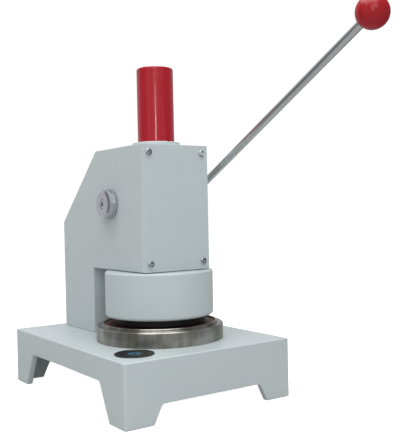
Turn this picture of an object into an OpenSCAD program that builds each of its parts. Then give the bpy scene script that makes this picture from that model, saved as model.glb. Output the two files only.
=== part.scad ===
// Bench press that cuts round samples out of sheet material.
// Pulling the lever down turns a pinion. The pinion drives a racked ram down, and the ram
// carries a ring blade on to the pad of the anvil. A presser ring holds the sheet first,
// and a spring in the tube on top lifts the ram and the lever again.
// Millimetres. +X is the operator's right, -Y the front, +Z up. Z 0 is the bench, X 0 the
// middle plane, and Y 0 the middle of the whole outline with the lever up.

/* [Base casting] */
// Width of the base
base_w = 255; // [240:1:280]
// Depth of the base
base_d = 339.4; // [330:0.1:350]
// Height of the base's top face
base_h = 79; // [75:0.5:90]
// Y of the base's front face
base_front_y = -57.1; // [-60:0.1:-55]
// Thickness of the base's top
base_top_t = 12; // [10:0.5:16]
// Thickness of the base's skirts
skirt_t = 9; // [7:0.5:12]
// Radius of the base's upright corners
base_corner_r = 4; // [2:0.5:8]
// Width of a foot at the bench
foot_w = 40; // [30:1:45]
// How far a foot widens for each millimetre of height
foot_slope = 0.5; // [0.3:0.05:0.8]
// Height of the arches in the front and back skirts
front_arch_h = 24; // [18:1:32]
// Height of the arches in the side skirts
side_arch_h = 48; // [36:1:52]
// Radius in the arches' upper corners
arch_corner_r = 9; // [5:1:14]

/* [Column and casing] */
// Width of the column and the casing
case_w = 104.5; // [100:0.5:110]
// Y of the casing's front face
case_front_y = 19.6; // [15:0.1:22]
// Y of the column's front face, below the casing
column_front_y = 165.3; // [164:0.1:168]
// Y of the column's back face
column_back_y = 265; // [260:0.5:270]
// Height of the casing's underside
under_z = 174.1; // [172:0.1:176]
// Height where the sloping back starts
slope_z = 241.5; // [235:0.5:250]
// Y where the sloping back meets the top
slope_y = 151.2; // [148:0.1:155]
// Height of the casing's top face
top_z = 343.5; // [340:0.5:345]
// Thickness of the casing's sides
cheek_t = 14; // [13:0.5:15]
// Thickness of the casing's top and bottom plates
plate_t = 16; // [15:0.5:17]
// Thickness of the column's walls and the sloping back
wall_t = 12; // [9:0.5:13]
// Thickness of the front cover
cover_t = 3; // [2:0.5:4]

/* [Press axis] */
// Y of the press axis
press_y = 68; // [67:0.5:69]
// Radius of the anvil
anvil_r = 88; // [86:0.5:92]
// Height of the anvil's outer step above the base
anvil_step_h = 20.2; // [19:0.1:21]
// Outer radius of the anvil's lip
lip_r = 80; // [79:0.5:82]
// Height of the lip above the outer step
lip_h = 3.3; // [3:0.1:4]
// Radius of the cutting pad
pad_r = 77; // [76:0.5:78]
// Thickness of the cutting pad
pad_t = 8; // [6:0.5:9]
// Depth of the pad's face below the lip's edge
pad_sink = 2.3; // [2:0.1:3]
// Radius of the drum
drum_r = 75; // [74.5:0.1:78]
// Height of the drum's lower edge above the bench
drum_z = 111.4; // [110:0.1:113]
// Radius of the drum's lower edge
drum_edge_r = 4.5; // [2:0.5:5]
// Radius of the drum's upper edge
drum_top_edge_r = 2.8; // [2:0.1:5]
// Cutting radius of the ring blade, for a disc of 100 square centimetres
cut_r = 56.42; // [55:0.01:57]

/* [Lever] */
// Height of the lever shaft's axis
shaft_z = 266; // [264:0.5:268]
// Radius of the lever shaft
shaft_r = 9; // [8:0.5:9]
// Angle of the lever above the horizontal at rest, in degrees
lever_angle = 28.1; // [20:0.1:40]
// Distance from the shaft's axis to the centre of the ball
lever_len = 419; // [400:1:425]
// X of the lever's plane
lever_x = 71.5; // [70:0.5:73]
// Radius of the lever rod
rod_r = 5; // [4:0.5:6]
// Radius of the ball
ball_r = 19; // [16:0.5:20]

/* [Spring tube] */
// Radius of the tube
tube_r = 25.4; // [25:0.1:27]
// Height of the tube's top above the bench
tube_top_z = 452.5; // [448:0.5:460]
// Thickness of the tube's wall
tube_wall = 2.6; // [2:0.1:3]

/* [Hidden] */
$fn = 96;

// Gap between pieces that bolt or press together
seat_gap = 0.05;
// Gap round a turning or sliding piece
run_gap = 0.05;
// How far a cut runs past a face
past = 1;

// Rack and pinion
gear_module = 2;
gear_teeth = 22;
pressure_angle = 20;
backlash = 0.3;
pitch_r = gear_module * gear_teeth / 2;
pinion_tip_r = pitch_r + gear_module;
pinion_root_r = pitch_r - 1.3 * gear_module;
rack_pitch = PI * gear_module;
rack_pitch_y = 16.8;
rack_tip_y = rack_pitch_y + 0.95 * gear_module;
rack_root_y = rack_pitch_y - 1.2 * gear_module;
rack_gaps_below = 2;
rack_gaps_above = 5;
pinion_w = 24;
shaft_y = press_y + rack_pitch_y + pitch_r;

// Base and casting
base_mid_y = base_front_y + base_d / 2;
cast_front_y = case_front_y + cover_t;
column_floor_t = 14;
slope_run = column_back_y - slope_y;
slope_rise = top_z - slope_z;
slope_len = norm([slope_run, slope_rise]);

// Fasteners
m4_r = 2;
m5_r = 2.5;
m8_r = 4;
m10_r = 5;
cover_screw_x = 42;
cover_screw_zs = [under_z + 11.2, top_z - 11];
cover_screw_head_r = 4.7;
cover_screw_head_h = 2.4;
column_bolt_x = 26;
column_bolt_ys = [column_front_y + 27, column_back_y - 27];
anvil_bolt_pcd_r = 55;
drum_bolt_pcd_r = 38;
collar_screw_pcd_r = 29.3;

// Anvil and pad
anvil_step_z = base_h + anvil_step_h;
lip_z = anvil_step_z + lip_h;
pad_z = lip_z - pad_sink;
anvil_chamfer = 1.2;

// Drum
drum_shoulder_z = under_z - 0.9;
drum_seat_r = 44;
drum_wall = 9;
drum_top_t = 9.2;

// Ram and what hangs under it
ram_r = 20;
carrier_z = 150;
carrier_t = 10;
carrier_r = 64.8;
ram_bottom_z = carrier_z + carrier_t;
ram_rod_r = 8;
buffer_t = 2.8;
ram_shoulder_z = top_z - plate_t - buffer_t - 0.2;
ram_top_z = tube_top_z - 12;
blade_z = pad_z + 14.1;
blade_wall = 2.2;
blade_flange_t = 5;
blade_flange_r = 46;
blade_bevel_h = 4;
blade_screw_pcd_r = 51;

// Presser and ejector
presser_z = pad_z + 2;
presser_r = 63.2;
presser_bore_r = cut_r + blade_wall + 0.6;
presser_top_z = 124;
presser_flange_r = 65.4;
presser_flange_t = 4;
presser_screw_pcd_r = 61.4;
presser_screws_n = 4;
ejector_r = cut_r - 0.9;
ejector_pad_t = 4;
ejector_plate_t = 6;
ejector_pin_pcd_r = 30;
ejector_pin_r = 3;
ejector_pins_n = 3;
ejector_top_z = presser_z + ejector_pad_t + ejector_plate_t;
head_gap = 0.2;
guide_head_h = 2.8;

// Guides, tube and return spring
lower_bush_r = 24;
upper_bush_r = 13;
bush_flange_t = 3;
spring_bottom_z = top_z + bush_flange_t;
spring_top_z = tube_top_z - 28;
spring_r = 17.5;
spring_wire = 3.5;
seat_t = 4;
nut_t = 8;
collar_h = 6;
collar_r = 33;

// Lever shaft's fittings
washer_t = 1.5;
washer_gap = 0.25;
hub_r = 20.3;
hub_outer_x = -case_w / 2 - 14.3;
hub_inner_x = -case_w / 2 - washer_t - washer_gap;
shaft_left_x = hub_inner_x - 2;
shaft_right_x = 85;
boss_r = 20;
boss_inner_x = case_w / 2 + washer_t + washer_gap;
boss_outer_x = 86;
bush_wall = 4;

cast_grey = [0.68, 0.71, 0.72];
tool_steel = [0.62, 0.61, 0.58];
dark_steel = [0.2, 0.2, 0.21];
bronze = [0.72, 0.53, 0.28];
gloss_red = [0.66, 0.1, 0.14];

// ---- helpers ----

// Puts its children on the press axis
module on_press_axis() {
    translate([0, press_y, 0]) children();
}

// Puts its children on the lever shaft's axis, with their +Z along +X
module on_shaft_axis() {
    translate([0, shaft_y, shaft_z]) rotate([0, 90, 0]) children();
}

// Puts its children on the lever's line, with their +Z from the shaft out to the ball
module on_lever_line() {
    translate([lever_x, shaft_y, shaft_z]) rotate([90 - lever_angle, 0, 0]) children();
}

// Copies its children round the Z axis
module copies_round(n, r, first_angle = 0) {
    for (i = [0 : n - 1]) rotate([0, 0, first_angle + i * 360 / n]) translate([r, 0, 0]) children();
}

// Cylinder between two heights
module rod_between(r, z0, z1) {
    translate([0, 0, z0]) cylinder(h = z1 - z0, r = r);
}

// Ring between two heights
module ring_between(r_out, r_in, z0, z1) {
    difference() {
        rod_between(r_out, z0, z1);
        rod_between(r_in, z0 - past, z1 + past);
    }
}

// Extrudes a Y-Z outline to both sides of X 0
module across_x(width) {
    rotate([90, 0, 90]) linear_extrude(height = width, center = true) children();
}

// Rectangle with round corners, centred
module round_rectangle(w, d, r) {
    square([w, d - 2 * r], center = true);
    square([w - 2 * r, d], center = true);
    for (sx = [-1, 1], sy = [-1, 1]) {
        translate([sx * (w / 2 - r), sy * (d / 2 - r)]) circle(r = r);
    }
}

// Socket-head screw that points down, with its head standing on Z 0
module socket_screw(r, length, head_r, head_h) {
    rod_between(r, -length, 0.01);
    difference() {
        rod_between(head_r, 0, head_h);
        translate([0, 0, head_h / 2]) cylinder(h = head_h, r = head_r * 0.55, $fn = 6);
    }
}

// Helical spring round the Z axis, swept as a tube of flat triangles
module coil(r, wire, z0, z1, turns, steps, sides) {
    n = turns * steps;
    rise = (z1 - z0 - wire) / n;
    points = [
        for (i = [0 : n]) for (j = [0 : sides - 1])
            let (a = 360 * i / steps, b = 360 * j / sides, reach = r + wire / 2 * cos(b))
            [reach * cos(a), reach * sin(a), z0 + wire / 2 + i * rise + wire / 2 * sin(b)]
    ];
    skin = [
        for (i = [0 : n - 1]) for (j = [0 : sides - 1])
            let (k = (j + 1) % sides, here = i * sides, next = (i + 1) * sides)
            each [[here + j, here + k, next + k], [here + j, next + k, next + j]]
    ];
    first_end = [[for (j = [sides - 1 : -1 : 0]) j]];
    last_end = [[for (j = [0 : sides - 1]) n * sides + j]];
    polyhedron(points = points, faces = concat(skin, first_end, last_end), convexity = 10);
}

// ---- base ----

// Outline of an arch between two feet, as wide as the skirt less its feet
function arch_outline(skirt_w, h) =
    let (
        low = skirt_w / 2 - foot_w,
        high = low - foot_slope * h,
        lean = atan2(h, low - high),
        centre = [high - arch_corner_r * tan(lean / 2), h - arch_corner_r],
        below = low + past * (low - high) / h,
        corner = [for (i = [0 : 6]) centre + arch_corner_r * [sin(lean * i / 6), cos(lean * i / 6)]]
    )
    concat(
        [[-below, -past]],
        [for (i = [len(corner) - 1 : -1 : 0]) [-corner[i][0], corner[i][1]]],
        corner,
        [[below, -past]]
    );

// Hollow table: a top plate with four skirts that are arched between the corner feet
module base() color(cast_grey) {
    difference() {
        translate([0, base_mid_y, 0]) linear_extrude(height = base_h) {
            round_rectangle(base_w, base_d, base_corner_r);
        }
        translate([0, base_mid_y, -past]) linear_extrude(height = base_h - base_top_t + past) {
            round_rectangle(base_w - 2 * skirt_t, base_d - 2 * skirt_t, base_corner_r + 2);
        }
        translate([0, base_mid_y, 0]) rotate([90, 0, 0]) {
            linear_extrude(height = base_d + 2 * past, center = true) {
                polygon(arch_outline(base_w, front_arch_h));
            }
        }
        translate([0, base_mid_y, 0]) across_x(base_w + 2 * past) {
            polygon(arch_outline(base_d, side_arch_h));
        }
        on_press_axis() copies_round(4, anvil_bolt_pcd_r, 45) {
            rod_between(m8_r + seat_gap, 0, base_h + past);
        }
        for (sx = [-1, 1], y = column_bolt_ys) {
            translate([sx * column_bolt_x, y, 0]) rod_between(m10_r + seat_gap, 0, base_h + past);
        }
    }
}

// Round disc set on the base's front left corner, with a raised rim and a plain ring
module badge() color([0.08, 0.1, 0.14]) {
    badge_r = 25;
    badge_t = 1.2;
    translate([-89, base_front_y + 42.7, 0]) {
        difference() {
            rod_between(badge_r, base_h, base_h + badge_t);
            ring_between(badge_r - 2, badge_r - 11, base_h + badge_t / 2, base_h + badge_t + past);
        }
    }
}

// ---- column and casing ----

// Hollow casting: the column at the back and the casing that overhangs the anvil
module column_casting() color(cast_grey) {
    inner_slope_z = slope_z - wall_t * (slope_len - slope_rise) / slope_run;
    inner_slope_y = column_back_y
        - (wall_t * slope_len + slope_run * (slope_rise - plate_t)) / slope_rise;
    difference() {
        across_x(case_w) polygon([
            [column_front_y, base_h],
            [column_back_y, base_h],
            [column_back_y, slope_z],
            [slope_y, top_z],
            [cast_front_y, top_z],
            [cast_front_y, under_z],
            [column_front_y, under_z]
        ]);
        across_x(case_w - 2 * cheek_t) polygon([
            [column_front_y + wall_t, base_h + column_floor_t],
            [column_back_y - wall_t, base_h + column_floor_t],
            [column_back_y - wall_t, inner_slope_z],
            [inner_slope_y, top_z - plate_t],
            [cast_front_y - past, top_z - plate_t],
            [cast_front_y - past, under_z + plate_t],
            [column_front_y + wall_t, under_z + plate_t]
        ]);
        on_shaft_axis() rod_between(shaft_r + bush_wall, -case_w, case_w);
        on_press_axis() {
            rod_between(lower_bush_r, under_z - past, under_z + plate_t + past);
            rod_between(upper_bush_r, top_z - plate_t - past, top_z + past);
            copies_round(4, drum_bolt_pcd_r, 45) {
                rod_between(m8_r + seat_gap, under_z - past, under_z + plate_t + past);
            }
            copies_round(3, collar_screw_pcd_r, 30) rod_between(m4_r + seat_gap, top_z - 10, top_z + past);
        }
        for (sx = [-1, 1], y = column_bolt_ys) {
            translate([sx * column_bolt_x, y, 0]) {
                rod_between(m10_r + seat_gap, base_h - past, base_h + column_floor_t + past);
            }
        }
        at_cover_screws() rod_between(m5_r + seat_gap, cover_t, 16);
    }
}

// Puts its children on the four cover screws, with their +Z into the casing from its front face
module at_cover_screws() {
    for (sx = [-1, 1], z = cover_screw_zs) {
        translate([sx * cover_screw_x, case_front_y, z]) rotate([-90, 0, 0]) children();
    }
}

// Plate that closes the front of the casing
module front_cover() color(cast_grey) {
    difference() {
        translate([-case_w / 2, case_front_y, under_z]) cube([case_w, cover_t, top_z - under_z]);
        at_cover_screws() rod_between(m5_r + seat_gap, -past, cover_t + past);
    }
}

// Four pan-head screws with cross recesses
module cover_screws() color([0.8, 0.8, 0.8]) {
    recess_w = 1.1;
    recess_len = 4.6;
    at_cover_screws() difference() {
        union() {
            rod_between(m5_r, 0, 15);
            rod_between(cover_screw_head_r, -cover_screw_head_h * 0.6, 0);
            rod_between(cover_screw_head_r * 0.86, -cover_screw_head_h, 0);
        }
        for (turn = [0, 90]) rotate([0, 0, turn]) {
            translate([-recess_len / 2, -recess_w / 2, -cover_screw_head_h - past]) {
                cube([recess_len, recess_w, past + cover_screw_head_h * 0.7]);
            }
        }
    }
}

// Four bolts that hold the column to the base from below
module column_bolts() color(dark_steel) {
    for (sx = [-1, 1], y = column_bolt_ys) {
        translate([sx * column_bolt_x, y, base_h - base_top_t]) rotate([180, 0, 0]) {
            socket_screw(m10_r, base_top_t + column_floor_t - 2, 8, 10);
        }
    }
}

// ---- anvil ----

// Turned steel table with an outer step, a lip and a seat for the pad
module anvil() color(tool_steel) {
    on_press_axis() difference() {
        rotate_extrude() polygon([
            [0, base_h],
            [anvil_r, base_h],
            [anvil_r, anvil_step_z - anvil_chamfer],
            [anvil_r - anvil_chamfer, anvil_step_z],
            [lip_r, anvil_step_z],
            [lip_r, lip_z],
            [pad_r + seat_gap, lip_z],
            [pad_r + seat_gap, pad_z - pad_t],
            [0, pad_z - pad_t]
        ]);
        copies_round(4, anvil_bolt_pcd_r, 45) rod_between(m8_r + seat_gap, base_h - past, base_h + 9);
    }
}

// Replaceable pad that the blade closes on
module cutting_pad() color([0.43, 0.25, 0.23]) {
    on_press_axis() rod_between(pad_r, pad_z - pad_t, pad_z);
}

// Four screws that hold the anvil to the base from below
module anvil_bolts() color(dark_steel) {
    on_press_axis() copies_round(4, anvil_bolt_pcd_r, 45) {
        translate([0, 0, base_h - base_top_t]) rotate([180, 0, 0]) {
            socket_screw(m8_r, base_top_t + 8, 6.5, 8);
        }
    }
}

// ---- drum ----

// Deep cover of the cutting head, bolted under the casing on a raised seat
module drum() color(cast_grey) {
    on_press_axis() difference() {
        union() {
            rotate_extrude() drum_section();
            rod_between(drum_seat_r, drum_shoulder_z - past, under_z);
        }
        rod_between(drum_r - drum_wall, drum_z - past, drum_shoulder_z - drum_top_t);
        rod_between(ram_r + 0.6, drum_z, under_z + past);
        copies_round(4, drum_bolt_pcd_r, 45) rod_between(m8_r + seat_gap, drum_z, under_z + past);
    }
}

// Half section of the drum's outside, with round edges above and below
module drum_section() {
    low_z = drum_z + drum_edge_r;
    high_z = drum_shoulder_z - drum_top_edge_r;
    translate([0, drum_z]) square([drum_r - drum_edge_r, drum_edge_r]);
    translate([0, low_z]) square([drum_r, high_z - low_z]);
    translate([0, high_z]) square([drum_r - drum_top_edge_r, drum_top_edge_r]);
    translate([drum_r - drum_edge_r, low_z]) circle(r = drum_edge_r);
    translate([drum_r - drum_top_edge_r, high_z]) circle(r = drum_top_edge_r);
}

// Four screws from inside the casing into the drum's top
module drum_bolts() color(dark_steel) {
    on_press_axis() copies_round(4, drum_bolt_pcd_r, 45) {
        translate([0, 0, under_z + plate_t]) socket_screw(m8_r, plate_t + 8, 6.5, 8);
    }
}

// ---- guides, tube and return spring ----

// Flanged bush that guides the ram in the casing's bottom plate
module lower_guide_bush() color(bronze) {
    on_press_axis() difference() {
        union() {
            rod_between(lower_bush_r - seat_gap, under_z, under_z + plate_t);
            rod_between(lower_bush_r + 4, under_z + plate_t, under_z + plate_t + bush_flange_t);
        }
        rod_between(ram_r + run_gap, under_z - past, under_z + plate_t + bush_flange_t + past);
    }
}

// Flanged bush that guides the ram's rod in the top plate and seats the return spring
module upper_guide_bush() color(bronze) {
    on_press_axis() difference() {
        union() {
            rod_between(upper_bush_r - seat_gap, top_z - plate_t, top_z);
            rod_between(spring_r + spring_wire, top_z, top_z + bush_flange_t);
        }
        rod_between(ram_rod_r + run_gap, top_z - plate_t - past, top_z + bush_flange_t + past);
    }
}

// Rubber ring that stops the ram at the top of its travel
module ram_buffer() color([0.12, 0.12, 0.12]) {
    on_press_axis() ring_between(18, ram_rod_r + 1, top_z - plate_t - buffer_t, top_z - plate_t);
}

// Closed tube over the return spring
module spring_tube() color(gloss_red) {
    edge = 1.5;
    on_press_axis() rotate_extrude() polygon([
        [tube_r - tube_wall, top_z],
        [tube_r, top_z],
        [tube_r, tube_top_z - edge],
        [tube_r - edge, tube_top_z],
        [0, tube_top_z],
        [0, tube_top_z - tube_wall],
        [tube_r - tube_wall, tube_top_z - tube_wall]
    ]);
}

// Flange round the foot of the tube
module tube_collar() color(cast_grey) {
    on_press_axis() difference() {
        ring_between(collar_r, tube_r + seat_gap, top_z, top_z + collar_h);
        copies_round(3, collar_screw_pcd_r, 30) {
            rod_between(m4_r + seat_gap, top_z - past, top_z + collar_h + past);
            rod_between(3.6, top_z + collar_h - 4, top_z + collar_h + past);
        }
    }
}

// Three screws that hold the collar
module collar_screws() color(dark_steel) {
    on_press_axis() copies_round(3, collar_screw_pcd_r, 30) {
        translate([0, 0, top_z + collar_h - 4]) socket_screw(m4_r, 10, 3.5, 3.8);
    }
}

// Compression spring that lifts the ram
module return_spring() color(tool_steel) {
    on_press_axis() coil(spring_r, spring_wire, spring_bottom_z, spring_top_z, 8, 14, 6);
}

// ---- lever shaft ----

// Bush in one cheek of the casing, for the side that is given
module shaft_bush(side) {
    on_shaft_axis() translate([0, 0, side * (case_w - cheek_t) / 2]) difference() {
        cylinder(h = cheek_t, r = shaft_r + bush_wall - seat_gap, center = true);
        cylinder(h = cheek_t + 2 * past, r = shaft_r + run_gap, center = true);
    }
}

module shaft_bush_left() color(bronze) shaft_bush(-1);

module shaft_bush_right() color(bronze) shaft_bush(1);

// Washers between the cheeks and what turns outside them
module thrust_washers() color(tool_steel) {
    on_shaft_axis() {
        ring_between(17.5, shaft_r + 0.3, case_w / 2, case_w / 2 + washer_t);
        ring_between(17.5, shaft_r + 0.3, -case_w / 2 - washer_t, -case_w / 2);
    }
}

// Key and the seats that it sits in, along the top of the shaft
module key_between(x0, x1, growth) {
    key_w = 5;
    key_low = shaft_r - 3;
    key_high = shaft_r + 2;
    translate([x0, shaft_y - key_w / 2 - growth, shaft_z + key_low - growth]) {
        cube([x1 - x0, key_w + 2 * growth, key_high - key_low + 2 * growth]);
    }
}

// Cross hole through the lever boss and the shaft, square to the lever
module boss_pin_between(r, reach) {
    pin_x = 61;
    translate([pin_x, shaft_y, shaft_z]) rotate([-lever_angle, 0, 0]) {
        cylinder(h = 2 * reach, r = r, center = true);
    }
}

// Shaft that carries the pinion between the lever boss and the hub cap
module lever_shaft() color(tool_steel) {
    difference() {
        on_shaft_axis() rod_between(shaft_r, shaft_left_x, shaft_right_x);
        key_between(-pinion_w / 2 + 2, pinion_w / 2 - 2, seat_gap);
        boss_pin_between(3 + seat_gap, boss_r);
        on_shaft_axis() rod_between(m8_r + seat_gap, shaft_left_x - past, shaft_left_x + 22);
    }
}

// Involute of an angle, in degrees
function involute(a) = tan(a) * 180 / PI - a;

// Half the angle that a tooth covers at a radius
function half_tooth(r) =
    let (base_r = pitch_r * cos(pressure_angle))
    90 / gear_teeth - backlash / 4 / pitch_r * 180 / PI
        + involute(pressure_angle) - involute(acos(min(1, base_r / r)));

// Outline of the pinion, with one tooth on its first axis
function pinion_outline() =
    let (
        base_r = pitch_r * cos(pressure_angle),
        steps = 6,
        radii = [for (i = [0 : steps]) base_r + (pinion_tip_r - base_r) * i / steps],
        half = concat([[pinion_root_r, half_tooth(base_r)]], [for (r = radii) [r, half_tooth(r)]])
    )
    [
        for (t = [0 : gear_teeth - 1]) let (mid = t * 360 / gear_teeth)
            each concat(
                [for (p = half) p[0] * [cos(mid - p[1]), sin(mid - p[1])]],
                [
                    for (i = [len(half) - 1 : -1 : 0]) let (p = half[i])
                        p[0] * [cos(mid + p[1]), sin(mid + p[1])]
                ]
            )
    ];

// Pinion that drives the ram's rack
module pinion() color(dark_steel) {
    difference() {
        translate([0, shaft_y, shaft_z]) across_x(pinion_w) polygon(pinion_outline());
        on_shaft_axis() rod_between(shaft_r + seat_gap, -pinion_w, pinion_w);
        key_between(-pinion_w, pinion_w, seat_gap);
    }
}

module pinion_key() color(tool_steel) {
    key_between(-pinion_w / 2 + 2 + seat_gap, pinion_w / 2 - 2 - seat_gap, 0);
}

// Turned cap on the shaft's left end, with a groove and a chamfered face
module hub_cap() color([0.78, 0.78, 0.77]) {
    groove_x = hub_inner_x - 3.6;
    on_shaft_axis() difference() {
        rotate_extrude() polygon([
            [0, hub_outer_x],
            [hub_r - 3.5, hub_outer_x],
            [hub_r, hub_outer_x + 2.2],
            [hub_r, groove_x - 1],
            [hub_r - 1.2, groove_x - 1],
            [hub_r - 1.2, groove_x],
            [hub_r, groove_x],
            [hub_r, hub_inner_x],
            [0, hub_inner_x]
        ]);
        rod_between(shaft_r + seat_gap, shaft_left_x, hub_inner_x + past);
        rod_between(m8_r + seat_gap, hub_outer_x, hub_inner_x);
        rod_between(6.7, hub_outer_x - past, hub_outer_x + 6.5);
    }
}

// Screw that holds the hub cap to the shaft
module hub_screw() color([0.78, 0.78, 0.77]) {
    head_h = 6;
    on_shaft_axis() translate([0, 0, hub_outer_x + 6.5]) rotate([180, 0, 0]) {
        socket_screw(m8_r, 22, 6.5, head_h);
    }
}

// Boss on the shaft's right end, which holds the lever rod
module lever_boss() color(tool_steel) {
    difference() {
        on_shaft_axis() rotate_extrude() polygon([
            [shaft_r + seat_gap, boss_inner_x],
            [boss_r, boss_inner_x],
            [boss_r, boss_outer_x - 2],
            [boss_r - 2, boss_outer_x],
            [shaft_r + seat_gap, boss_outer_x]
        ]);
        on_lever_line() rod_between(rod_r + seat_gap, shaft_r, boss_r + past);
        boss_pin_between(3 + seat_gap, boss_r + past);
    }
}

// Pin that drives the shaft from the boss
module boss_pin() color(dark_steel) boss_pin_between(3, boss_r - 0.5);

// Round rod from the boss to the ball
module lever_rod() color([0.75, 0.75, 0.74]) {
    on_lever_line() rod_between(rod_r, shaft_r + 0.5, lever_len - 4);
}

// Ball that the operator holds
module ball_knob() color(gloss_red) {
    on_lever_line() difference() {
        translate([0, 0, lever_len]) sphere(r = ball_r);
        rod_between(rod_r + seat_gap, lever_len - 2 * ball_r, lever_len - 3.5);
    }
}

// ---- ram and cutting head ----

// Outline of the rack's cut, on the back of the ram
function rack_cut_outline() =
    let (
        slope = tan(pressure_angle),
        half_gap = rack_pitch / 4 + backlash / 4,
        tip_half = half_gap + (rack_tip_y - rack_pitch_y) * slope,
        root_half = half_gap - (rack_pitch_y - rack_root_y) * slope,
        low = shaft_z - (rack_gaps_below + 0.5) * rack_pitch,
        high = shaft_z + (rack_gaps_above + 0.5) * rack_pitch,
        clear_y = press_y + ram_r + past
    )
    concat(
        [[clear_y, low], [press_y + rack_tip_y, low]],
        [
            for (i = [-rack_gaps_below : rack_gaps_above]) let (z = shaft_z + i * rack_pitch)
                each [
                    [press_y + rack_tip_y, z - tip_half],
                    [press_y + rack_root_y, z - root_half],
                    [press_y + rack_root_y, z + root_half],
                    [press_y + rack_tip_y, z + tip_half]
                ]
        ],
        [[press_y + rack_tip_y, high], [clear_y, high]]
    );

// Sliding ram: a thick rack below the top plate, and a thin rod up into the tube
module ram() color(tool_steel) {
    difference() {
        on_press_axis() {
            rod_between(ram_r, ram_bottom_z, ram_shoulder_z);
            rod_between(ram_rod_r, ram_shoulder_z - past, ram_top_z);
        }
        across_x(3 * ram_r) polygon(rack_cut_outline());
        on_press_axis() rod_between(m10_r + seat_gap, ram_bottom_z - past, ram_bottom_z + 26);
    }
}

// Washer that the return spring pushes up on
module spring_seat() color(tool_steel) {
    on_press_axis() {
        ring_between(spring_r + spring_wire, ram_rod_r + seat_gap, spring_top_z, spring_top_z + seat_t);
    }
}

// Nut that holds the spring seat on the ram's rod
module seat_nut() color(dark_steel) {
    low = spring_top_z + seat_t;
    on_press_axis() difference() {
        translate([0, 0, low]) cylinder(h = nut_t, r = 13.8, $fn = 6);
        rod_between(ram_rod_r + seat_gap, low - past, low + nut_t + past);
    }
}

// Disc under the ram that carries the blade and guides the presser and the ejector
module blade_carrier() color(tool_steel) {
    on_press_axis() difference() {
        rod_between(carrier_r, carrier_z, ram_bottom_z);
        rod_between(m10_r + seat_gap, carrier_z - past, ram_bottom_z + past);
        copies_round(presser_screws_n, presser_screw_pcd_r, 45) {
            rod_between(2.1, carrier_z - past, ram_bottom_z + past);
        }
        copies_round(ejector_pins_n, ejector_pin_pcd_r) {
            rod_between(ejector_pin_r + 0.1, carrier_z - past, ram_bottom_z + past);
        }
        copies_round(6, blade_screw_pcd_r, 15) rod_between(m4_r + seat_gap, carrier_z - past, carrier_z + 8);
    }
}

// Screw that holds the carrier to the ram
module carrier_bolt() color(dark_steel) {
    on_press_axis() translate([0, 0, carrier_z]) rotate([180, 0, 0]) {
        socket_screw(m10_r, carrier_t + 24, 8, 10);
    }
}

// Ring blade, ground on the outside, with a flange under the carrier
module ring_blade() color([0.8, 0.8, 0.8]) {
    on_press_axis() difference() {
        rotate_extrude() polygon([
            [cut_r, blade_z],
            [cut_r + 0.25, blade_z],
            [cut_r + blade_wall, blade_z + blade_bevel_h],
            [cut_r + blade_wall, carrier_z],
            [blade_flange_r, carrier_z],
            [blade_flange_r, carrier_z - blade_flange_t],
            [cut_r, carrier_z - blade_flange_t]
        ]);
        copies_round(6, blade_screw_pcd_r, 15) {
            rod_between(m4_r + seat_gap, carrier_z - blade_flange_t - past, carrier_z + past);
        }
    }
}

// Six screws that hold the blade to the carrier
module blade_screws() color(dark_steel) {
    on_press_axis() copies_round(6, blade_screw_pcd_r, 15) {
        translate([0, 0, carrier_z - blade_flange_t]) rotate([180, 0, 0]) {
            socket_screw(m4_r, blade_flange_t + 7, 3.5, 4);
        }
    }
}

// Ring round the blade that holds the sheet down
module presser_ring() color([0.09, 0.09, 0.1]) {
    on_press_axis() difference() {
        union() {
            rod_between(presser_r, presser_z, presser_top_z);
            rod_between(presser_flange_r, presser_top_z - presser_flange_t, presser_top_z);
        }
        rod_between(presser_bore_r, presser_z - past, presser_top_z + past);
        copies_round(presser_screws_n, presser_screw_pcd_r, 45) {
            rod_between(1.4 + seat_gap, presser_top_z - 7, presser_top_z + past);
        }
    }
}

// Guide screws that hang the presser ring from the carrier
module presser_screws() color(tool_steel) {
    head_z = ram_bottom_z + head_gap;
    on_press_axis() copies_round(presser_screws_n, presser_screw_pcd_r, 45) {
        rod_between(1.4, presser_top_z - 6, presser_top_z);
        rod_between(1.6, presser_top_z, head_z);
        rod_between(2.9, head_z, head_z + guide_head_h);
    }
}

// Springs between the presser ring and the carrier
module presser_springs() color(tool_steel) {
    on_press_axis() copies_round(presser_screws_n, presser_screw_pcd_r, 45) {
        coil(2.3, 0.8, presser_top_z, carrier_z, 5, 8, 5);
    }
}

// Disc inside the blade that pushes the cut sample out
module ejector_plate() color([0.75, 0.76, 0.78]) {
    on_press_axis() difference() {
        rod_between(ejector_r, presser_z + ejector_pad_t, ejector_top_z);
        copies_round(ejector_pins_n, ejector_pin_pcd_r) {
            rod_between(ejector_pin_r + seat_gap, ejector_top_z - 4, ejector_top_z + past);
        }
    }
}

// Foam face of the ejector
module ejector_pad() color([0.1, 0.1, 0.1]) {
    on_press_axis() rod_between(ejector_r, presser_z, presser_z + ejector_pad_t);
}

// Headed pins that guide the ejector in the carrier
module ejector_pins() color(tool_steel) {
    head_z = ram_bottom_z + head_gap;
    on_press_axis() copies_round(ejector_pins_n, ejector_pin_pcd_r) {
        rod_between(ejector_pin_r, ejector_top_z - 4, head_z);
        rod_between(5, head_z, head_z + guide_head_h);
    }
}

// Springs between the ejector and the carrier
module ejector_springs() color(tool_steel) {
    on_press_axis() copies_round(ejector_pins_n, ejector_pin_pcd_r) {
        coil(4.8, 1.2, ejector_top_z, carrier_z, 6, 10, 5);
    }
}

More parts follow.
